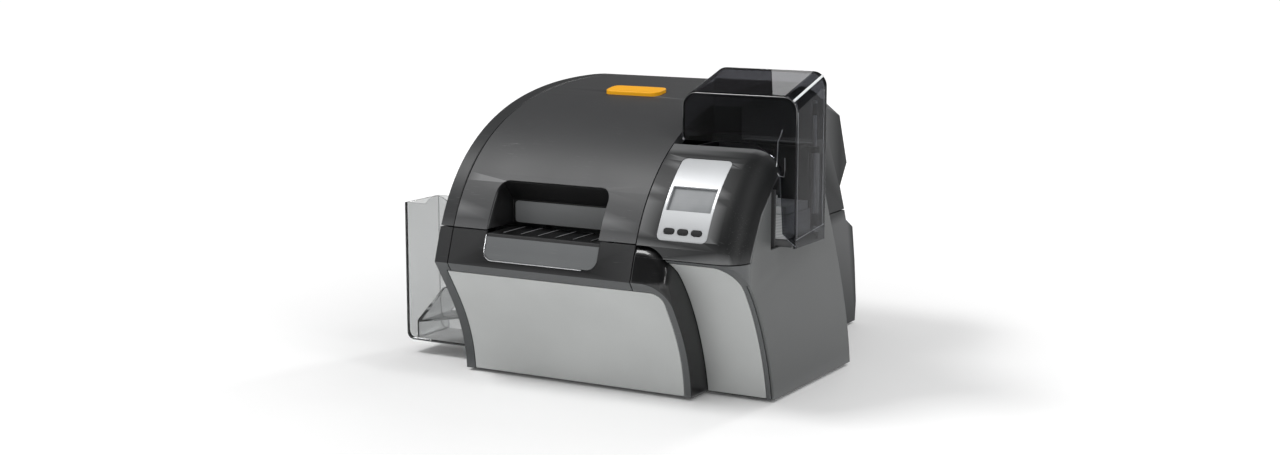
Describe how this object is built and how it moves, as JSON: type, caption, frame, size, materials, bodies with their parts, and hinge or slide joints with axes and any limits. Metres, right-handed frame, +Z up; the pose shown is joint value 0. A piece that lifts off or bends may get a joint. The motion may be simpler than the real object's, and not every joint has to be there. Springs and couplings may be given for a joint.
{
  "type": "id card printer",
  "caption": "Desktop retransfer ID card printer with hinged top cover and front door, smoked swing-open card hopper, control panel and clear output bin",
  "frame": {"origin": "middle of the whole footprint, at the table under the rubber feet", "axes": "x runs to the right as seen from the front, y to the back and z up"},
  "size_m": [0.473, 0.4814, 0.3275],
  "materials": {
    "amber_plastic": "semi-gloss amber plastic",
    "bezel_silver": "bright silver painted plastic",
    "black_casing": "glossy black moulded plastic",
    "board_green": "solder-masked circuit board",
    "brass_pulley": "turned brass",
    "card_plastic": "blank white card laminate",
    "clean_pink": "tacky cleaning rubber",
    "clear_plastic": "clear transparent polycarbonate",
    "dark_casing": "satin moulded plastic, dark charcoal",
    "display_glass": "flat grey display window",
    "film_blue": "rolled transfer film",
    "grey_casing": "satin mid-grey moulded plastic",
    "psu_alloy": "bare aluminium case",
    "ribbon_plum": "rolled colour ribbon",
    "roller_rubber": "ground roller rubber",
    "rubber_black": "matt black rubber",
    "sheet_steel": "plated sheet steel",
    "silver_paint": "matt silver-grey painted panel",
    "smoked_clear": "smoked transparent polycarbonate",
    "steel": "brushed steel",
    "textured_black": "fine textured black plastic"
  },
  "bodies": {
    "casing": {"base_pan": "sheet_steel", "rubber_feet": "rubber_black", "left_lower_panel": "dark_casing", "left_upper_panel": "dark_casing", "front_arch": "black_casing", "tower_front_rim": "grey_casing", "tower_front_panel": "silver_paint", "tower_side_cover": "grey_casing", "control_housing": "grey_casing", "control_bezel": "bezel_silver", "display_window": "display_glass", "control_board": "board_green", "hopper_base": "textured_black", "hopper_hinge_rod": "steel", "card_stack": "card_plastic", "hinge_pins": "steel", "rear_upper_shell": "dark_casing", "rear_lower_shell": "dark_casing", "main_frame_plate": "sheet_steel", "front_bearing_plate": "sheet_steel", "tie_rods": "steel", "drive_belt": "rubber_black", "transport_motor": "textured_black", "main_board": "board_green", "power_supply": "psu_alloy", "fan_housing": "textured_black", "rear_connectors": "textured_black", "case_screws": "steel"},
    "front_door": {"front_door": "dark_casing", "front_door_panel": "silver_paint", "recess_tray": "textured_black"},
    "top_cover": {"top_cover": "grey_casing", "recess_liner": "textured_black", "recess_plate": "sheet_steel"},
    "latch": {"latch_button": "amber_plastic"},
    "hopper_cover": {"hopper_cover": "smoked_clear"},
    "card_weight": {"card_weight": "card_plastic"},
    "button_left": {"button_left": "black_casing"},
    "button_middle": {"button_middle": "black_casing"},
    "button_right": {"button_right": "black_casing"},
    "pick_roller": {"pick_roller": "roller_rubber"},
    "drive_roller_left": {"drive_roller_left": "roller_rubber"},
    "drive_roller_right": {"drive_roller_right": "roller_rubber"},
    "pinch_roller_left": {"pinch_roller_left": "roller_rubber"},
    "pinch_roller_right": {"pinch_roller_right": "roller_rubber"},
    "motor_pulley": {"motor_pulley": "brass_pulley"},
    "transfer_roller": {"transfer_roller": "steel"},
    "backing_roller": {"backing_roller": "roller_rubber"},
    "platen_roller": {"platen_roller": "roller_rubber"},
    "print_head": {"print_head": "sheet_steel"},
    "film_supply": {"film_supply_spool": "film_blue"},
    "film_takeup": {"film_takeup_spool": "film_blue"},
    "ribbon_supply": {"ribbon_supply_spool": "ribbon_plum"},
    "ribbon_takeup": {"ribbon_takeup_spool": "ribbon_plum"},
    "cleaning_roller": {"cleaning_roller": "clean_pink"},
    "flipper": {"flipper": "textured_black"},
    "fan_rotor": {"fan_rotor": "textured_black"},
    "power_switch": {"power_switch": "black_casing"},
    "output_bin": {"output_bin": "clear_plastic", "bin_ramp": "clear_plastic"}
  },
  "joints": [
    {"name": "front_door_hinge", "type": "hinge", "parent": "casing", "child": "front_door", "pos_m": [-0.007, -0.17775, 0.013], "axis": [1, 0, 0], "range_deg": [0, 55]},
    {"name": "top_cover_hinge", "type": "hinge", "parent": "casing", "child": "top_cover", "pos_m": [-0.007, 0.14525, 0.2846], "axis": [-1, 0, 0], "range_deg": [0, 70]},
    {"name": "latch_press", "type": "slide", "parent": "top_cover", "child": "latch", "axis": [0, 0, -1], "range_m": [0, 0.003], "stiffness_N_per_m": 600},
    {"name": "hopper_cover_hinge", "type": "hinge", "parent": "casing", "child": "hopper_cover", "pos_m": [0.2255, -0.08475, 0.228], "axis": [0, 0, 1], "range_deg": [0, 90]},
    {"name": "card_weight_slide", "type": "slide", "parent": "casing", "child": "card_weight", "axis": [0, 0, 1], "range_m": [0, 0.03]},
    {"name": "button_left_press", "type": "slide", "parent": "casing", "child": "button_left", "axis": [0, 0.7861, -0.6181], "range_m": [0, 0.0008], "stiffness_N_per_m": 800},
    {"name": "button_middle_press", "type": "slide", "parent": "casing", "child": "button_middle", "axis": [0, 0.7861, -0.6181], "range_m": [0, 0.0008], "stiffness_N_per_m": 800},
    {"name": "button_right_press", "type": "slide", "parent": "casing", "child": "button_right", "axis": [0, 0.7861, -0.6181], "range_m": [0, 0.0008], "stiffness_N_per_m": 800},
    {"name": "power_switch_rock", "type": "hinge", "parent": "casing", "child": "power_switch", "pos_m": [-0.0525, 0.22835, 0.039], "axis": [1, 0, 0], "range_deg": [-6, 6]},
    {"name": "output_bin_lift", "type": "slide", "parent": "casing", "child": "output_bin", "axis": [0, 0, 1], "range_m": [0, 0.02]},
    {"name": "print_head_lift", "type": "hinge", "parent": "casing", "child": "print_head", "pos_m": [0.0145, -0.11575, 0.098], "axis": [0, -1, 0], "range_deg": [0, 12]},
    {"name": "drive_left_turn", "type": "hinge", "parent": "casing", "child": "drive_roller_left", "pos_m": [-0.0455, -0.10075, 0.1588], "axis": [0, 1, 0], "continuous": true},
    {"name": "drive_right_turn", "type": "hinge", "parent": "casing", "child": "drive_roller_right", "pos_m": [0.0715, -0.10075, 0.1588], "axis": [0, 1, 0], "continuous": true},
    {"name": "motor_turn", "type": "hinge", "parent": "casing", "child": "motor_pulley", "pos_m": [0.013, -0.05075, 0.112], "axis": [0, 1, 0], "continuous": true},
    {"name": "pinch_left_turn", "type": "hinge", "parent": "casing", "child": "pinch_roller_left", "pos_m": [-0.0455, -0.10075, 0.1726], "axis": [0, 1, 0], "continuous": true},
    {"name": "pinch_right_turn", "type": "hinge", "parent": "casing", "child": "pinch_roller_right", "pos_m": [0.0715, -0.10075, 0.1726], "axis": [0, 1, 0], "continuous": true},
    {"name": "transfer_turn", "type": "hinge", "parent": "casing", "child": "transfer_roller", "pos_m": [-0.0055, -0.10075, 0.1518], "axis": [0, 1, 0], "continuous": true},
    {"name": "backing_turn", "type": "hinge", "parent": "casing", "child": "backing_roller", "pos_m": [-0.0055, -0.10075, 0.1766], "axis": [0, 1, 0], "continuous": true},
    {"name": "platen_turn", "type": "hinge", "parent": "casing", "child": "platen_roller", "pos_m": [-0.0195, -0.10075, 0.072], "axis": [0, 1, 0], "continuous": true},
    {"name": "film_supply_turn", "type": "hinge", "parent": "casing", "child": "film_supply", "pos_m": [-0.0795, -0.10075, 0.1], "axis": [0, 1, 0], "continuous": true},
    {"name": "film_takeup_turn", "type": "hinge", "parent": "casing", "child": "film_takeup", "pos_m": [-0.0795, -0.10075, 0.046], "axis": [0, 1, 0], "continuous": true},
    {"name": "ribbon_supply_turn", "type": "hinge", "parent": "casing", "child": "ribbon_supply", "pos_m": [0.0665, -0.10075, 0.1], "axis": [0, 1, 0], "continuous": true},
    {"name": "ribbon_takeup_turn", "type": "hinge", "parent": "casing", "child": "ribbon_takeup", "pos_m": [0.0665, -0.10075, 0.046], "axis": [0, 1, 0], "continuous": true},
    {"name": "cleaning_turn", "type": "hinge", "parent": "casing", "child": "cleaning_roller", "pos_m": [0.0985, -0.10075, 0.1756], "axis": [0, 1, 0], "continuous": true},
    {"name": "flipper_turn", "type": "hinge", "parent": "casing", "child": "flipper", "pos_m": [-0.0885, -0.10075, 0.1662], "axis": [0, 1, 0], "continuous": true},
    {"name": "pick_turn", "type": "hinge", "parent": "casing", "child": "pick_roller", "pos_m": [0.1745, -0.11075, 0.1548], "axis": [0, 1, 0], "continuous": true},
    {"name": "fan_turn", "type": "hinge", "parent": "casing", "child": "fan_rotor", "pos_m": [0.0515, 0.21525, 0.062], "axis": [0, 1, 0], "continuous": true}
  ],
  "couplings": [
    {"joint": "drive_right_turn", "follows": "drive_left_turn", "ratio": 1},
    {"joint": "motor_turn", "follows": "drive_left_turn", "ratio": 1},
    {"joint": "pinch_left_turn", "follows": "drive_left_turn", "ratio": -1.1667},
    {"joint": "pinch_right_turn", "follows": "drive_left_turn", "ratio": -1.1667},
    {"joint": "backing_turn", "follows": "transfer_turn", "ratio": -1.4}
  ]
}
